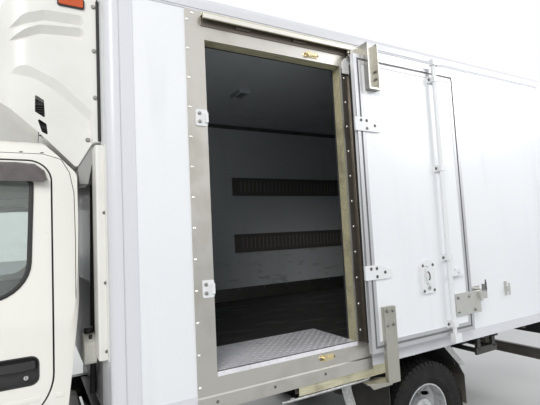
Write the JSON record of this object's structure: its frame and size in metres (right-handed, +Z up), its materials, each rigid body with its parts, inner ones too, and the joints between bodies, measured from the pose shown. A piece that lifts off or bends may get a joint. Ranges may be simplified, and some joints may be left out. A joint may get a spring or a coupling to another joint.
{
  "type": "refrigerated truck",
  "caption": "Small cab-over refrigerated truck: tilting cab, insulated box with a cooling unit over the cab, open sliding side door and hinged rear doors",
  "frame": {"origin": "on the ground under the middle of the truck's bounding box", "axes": "+X forward along the truck, +Y to the truck's left, +Z up"},
  "size_m": [5.7, 2.48, 3.008],
  "materials": {
    "cab_paint": "gloss cream white paint",
    "panel_white": "smooth white panel skin",
    "rail_white": "white coated extrusion",
    "liner": "grey-blue wipe-down liner",
    "stainless": "fine brushed stainless steel",
    "galvanised": "dull zinc coated steel",
    "rail_bronze": "dull bronze anodised channel",
    "cover_white": "moulded white plastic cover",
    "black_frame": "satin black chassis paint",
    "black_plastic": "grained black plastic",
    "cast": "rough casting",
    "wheel_silver": "silver painted steel wheel",
    "tyre": "road tyre rubber",
    "glass": "clear safety glass",
    "seat_cloth": "grey woven seat cloth",
    "lens_red": "red lamp lens",
    "lamp_clear": "clear lamp lens"
  },
  "bodies": {
    "truck": {"axles": "black_frame", "battery_box": "black_plastic", "body_sills": "black_frame", "box_edge_rails": "rail_white", "box_floor": "stainless", "box_front_wall": "panel_white", "box_roof": "panel_white", "box_wall_left": "panel_white", "box_wall_right": "panel_white", "engine_block": "cast", "evaporator": "panel_white", "exhaust": "galvanised", "floor_bearers": "black_frame", "frame_rails": "black_frame", "front_bumper": "black_plastic", "fuel_tank": "black_frame", "lashing_rails": "galvanised", "leaf_springs": "black_frame", "mudguards": "black_plastic", "rear_bumper": "black_frame", "rear_frame": "stainless", "refrigeration_covers": "cover_white", "side_door": "panel_white", "side_door_fittings": "galvanised", "side_frame": "stainless", "side_rails": "rail_bronze", "tail_lamps": "lens_red", "tow_eyes": "black_frame"},
    "cab": {"cab_shell": "cab_paint", "cab_front_panel": "cab_paint", "head_lamps": "lamp_clear", "cab_windows": "glass", "cab_floor": "black_plastic", "dashboard": "black_plastic", "seats": "seat_cloth", "mirrors": "black_plastic"},
    "cab_door_left": {"cab_door_left": "cab_paint", "door_glass_left": "glass"},
    "cab_door_right": {"cab_door_right": "cab_paint", "door_glass_right": "glass"},
    "steering_wheel": {"steering_wheel": "black_plastic"},
    "knuckle_left": {"knuckle_left": "cast"},
    "knuckle_right": {"knuckle_right": "cast"},
    "front_wheel_left": {"front_rim_left": "wheel_silver", "front_tyre_left": "tyre"},
    "front_wheel_right": {"front_rim_right": "wheel_silver", "front_tyre_right": "tyre"},
    "rear_wheels_left": {"rear_rims_left": "wheel_silver", "rear_tyres_left": "tyre"},
    "rear_wheels_right": {"rear_rims_right": "wheel_silver", "rear_tyres_right": "tyre"},
    "rear_door_left": {"rear_door_left": "panel_white", "rear_lock_left": "stainless"},
    "rear_door_right": {"rear_door_right": "panel_white", "rear_lock_right": "stainless"}
  },
  "joints": [
    {"name": "cab_tilt", "type": "hinge", "parent": "truck", "child": "cab", "pos_m": [2.745, 0, 0.545], "axis": [0, 1, 0], "range_deg": [0, 45]},
    {"name": "cab_door_left_hinge", "type": "hinge", "parent": "cab", "child": "cab_door_left", "pos_m": [2.42, 0.993, 1.02], "axis": [0, 0, -1], "range_deg": [0, 65]},
    {"name": "cab_door_right_hinge", "type": "hinge", "parent": "cab", "child": "cab_door_right", "pos_m": [2.42, -0.993, 1.02], "axis": [0, 0, 1], "range_deg": [0, 65]},
    {"name": "steering_left", "type": "hinge", "parent": "truck", "child": "knuckle_left", "pos_m": [1.78, 0.69, 0.362], "axis": [0, 0, 1], "range_deg": [-35, 35]},
    {"name": "steering_right", "type": "hinge", "parent": "truck", "child": "knuckle_right", "pos_m": [1.78, -0.69, 0.362], "axis": [0, 0, 1], "range_deg": [-35, 35]},
    {"name": "steering_wheel_turn", "type": "hinge", "parent": "cab", "child": "steering_wheel", "pos_m": [2.085, -0.52, 1.395], "axis": [-0.5299, 0, 0.848], "range_deg": [-525, 525]},
    {"name": "front_wheel_left_spin", "type": "hinge", "parent": "knuckle_left", "child": "front_wheel_left", "pos_m": [1.78, 0.8, 0.362], "axis": [0, 1, 0], "continuous": true},
    {"name": "front_wheel_right_spin", "type": "hinge", "parent": "knuckle_right", "child": "front_wheel_right", "pos_m": [1.78, -0.8, 0.362], "axis": [0, 1, 0], "continuous": true},
    {"name": "rear_wheels_left_spin", "type": "hinge", "parent": "truck", "child": "rear_wheels_left", "pos_m": [-1.08, 0.787, 0.362], "axis": [0, 1, 0], "continuous": true},
    {"name": "rear_wheels_right_spin", "type": "hinge", "parent": "truck", "child": "rear_wheels_right", "pos_m": [-1.08, -0.787, 0.362], "axis": [0, 1, 0], "continuous": true},
    {"name": "rear_door_left_hinge", "type": "hinge", "parent": "truck", "child": "rear_door_left", "pos_m": [-2.831, 1.102, 1.95], "axis": [0, 0, -1], "range_deg": [0, 255]},
    {"name": "rear_door_right_hinge", "type": "hinge", "parent": "truck", "child": "rear_door_right", "pos_m": [-2.831, -1.102, 1.95], "axis": [0, 0, 1], "range_deg": [0, 255]}
  ],
  "couplings": [
    {"joint": "steering_right", "follows": "steering_left", "ratio": 1},
    {"joint": "steering_wheel_turn", "follows": "steering_left", "ratio": 15}
  ]
}
